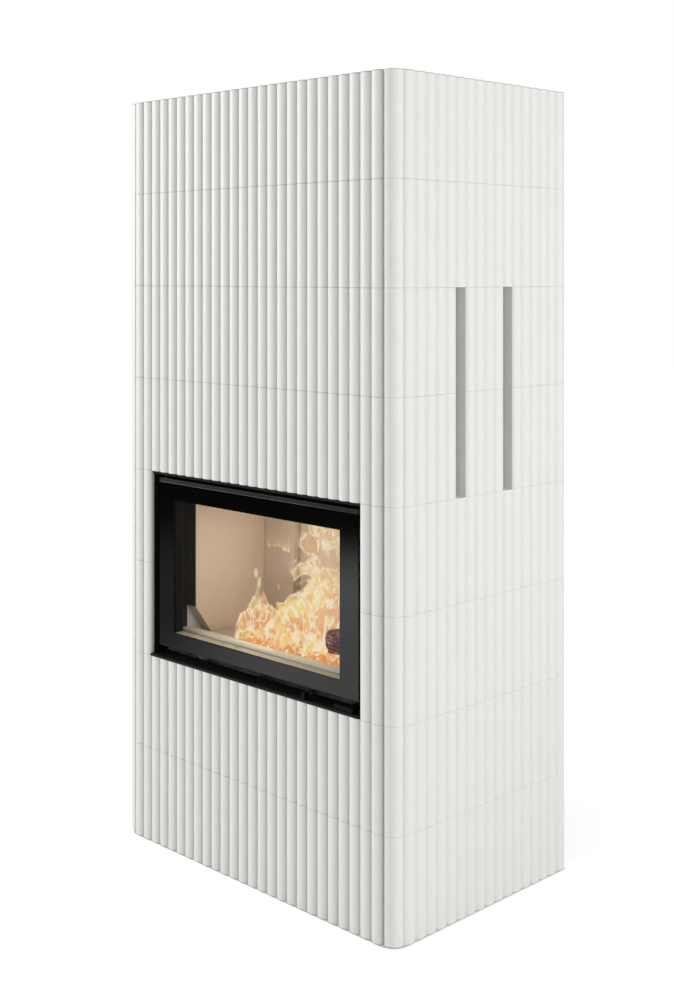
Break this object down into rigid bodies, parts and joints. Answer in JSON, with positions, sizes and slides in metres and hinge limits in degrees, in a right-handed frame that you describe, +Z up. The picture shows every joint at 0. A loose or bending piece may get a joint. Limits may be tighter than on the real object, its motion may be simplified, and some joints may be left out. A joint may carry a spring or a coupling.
{
  "type": "tiled wood stove",
  "caption": "Tall square stove: white reeded tile shell round a steel fireplace insert with a wide hinged glass door, latch and air lever.",
  "frame": {"origin": "on the floor, in the middle of the overall box", "axes": "+Z up, +X to the right of someone facing the door, -Y the door side"},
  "size_m": [0.8136, 0.5212, 1.604],
  "materials": {
    "tile_glaze": "gloss white glaze",
    "base_steel": "satin grey paint",
    "carcass_steel": "galvanised",
    "rear_panel_paint": "matt light grey paint",
    "screw_zinc": "zinc plated",
    "top_plate_stone": "matt off-white cast",
    "flue_paint": "matt heat-proof paint",
    "stove_steel": "dull heat-proof paint",
    "stove_black": "satin black",
    "frame_paint": "satin black",
    "rail_grey": "satin dark grey",
    "lever_black": "matt black",
    "bright_steel": "drawn",
    "seal_rope": "woven glass fibre",
    "door_glass": "clear with a black printed border",
    "firebrick": "matt pale firebrick",
    "storage_stone": "matt cast"
  },
  "bodies": {
    "stove": {"air_box": "carcass_steel", "base_plate": "base_steel", "corner_posts": "carcass_steel", "firebox_casing": "stove_steel", "flue_pipe": "flue_paint", "flue_trim_plate": "flue_paint", "front_flank_3_left": "tile_glaze", "front_flank_3_right": "tile_glaze", "front_flank_4_left": "tile_glaze", "front_flank_4_right": "tile_glaze", "front_tile_1": "tile_glaze", "front_tile_2": "tile_glaze", "front_tile_5": "tile_glaze", "front_tile_6": "tile_glaze", "front_tile_7": "tile_glaze", "front_tile_8": "tile_glaze", "hearth_slab": "firebrick", "hinge_brackets": "stove_black", "hinge_pins": "bright_steel", "insert_legs": "carcass_steel", "latch_keeper": "bright_steel", "log_guard": "firebrick", "rear_liner_centre": "firebrick", "rear_liner_left": "firebrick", "rear_liner_right": "firebrick", "rear_panel": "rear_panel_paint", "rear_panel_screws": "screw_zinc", "side_liner_left": "firebrick", "side_liner_right": "firebrick", "side_tile_1_left": "tile_glaze", "side_tile_1_right": "tile_glaze", "side_tile_2_left": "tile_glaze", "side_tile_2_right": "tile_glaze", "side_tile_3_left": "tile_glaze", "side_tile_3_right": "tile_glaze", "side_tile_4_left": "tile_glaze", "side_tile_4_right": "tile_glaze", "side_tile_5_left": "tile_glaze", "side_tile_5_right": "tile_glaze", "side_tile_6_left": "tile_glaze", "side_tile_6_right": "tile_glaze", "side_tile_7_left": "tile_glaze", "side_tile_7_right": "tile_glaze", "side_tile_8_left": "tile_glaze", "side_tile_8_right": "tile_glaze", "smoke_baffle": "firebrick", "smoke_hood": "stove_steel", "storage_shelf": "carcass_steel", "storage_stone_lower": "storage_stone", "storage_stone_upper": "storage_stone", "surround_frame": "frame_paint", "top_plate": "top_plate_stone"},
    "door": {"door_frame": "stove_black", "door_glass": "door_glass", "glass_gasket": "seal_rope", "glass_rails": "rail_grey", "door_gasket": "seal_rope"},
    "latch": {"door_latch": "stove_black"},
    "air_control": {"air_slide": "bright_steel", "air_lever": "lever_black"}
  },
  "joints": [
    {"name": "door_hinge", "type": "hinge", "parent": "stove", "child": "door", "pos_m": [-0.2911, -0.234, 0.6], "axis": [0, 0, -1], "range_deg": [0, 100], "deforming": ["latch_keeper"]},
    {"name": "latch_turn", "type": "hinge", "parent": "door", "child": "latch", "pos_m": [0.2851, -0.22875, 0.43], "axis": [0, 0, 1], "range_deg": [0, 25], "deforming": ["latch_keeper"]},
    {"name": "air_slide", "type": "slide", "parent": "stove", "child": "air_control", "axis": [1, 0, 0], "range_m": [-0.05, 0]}
  ]
}
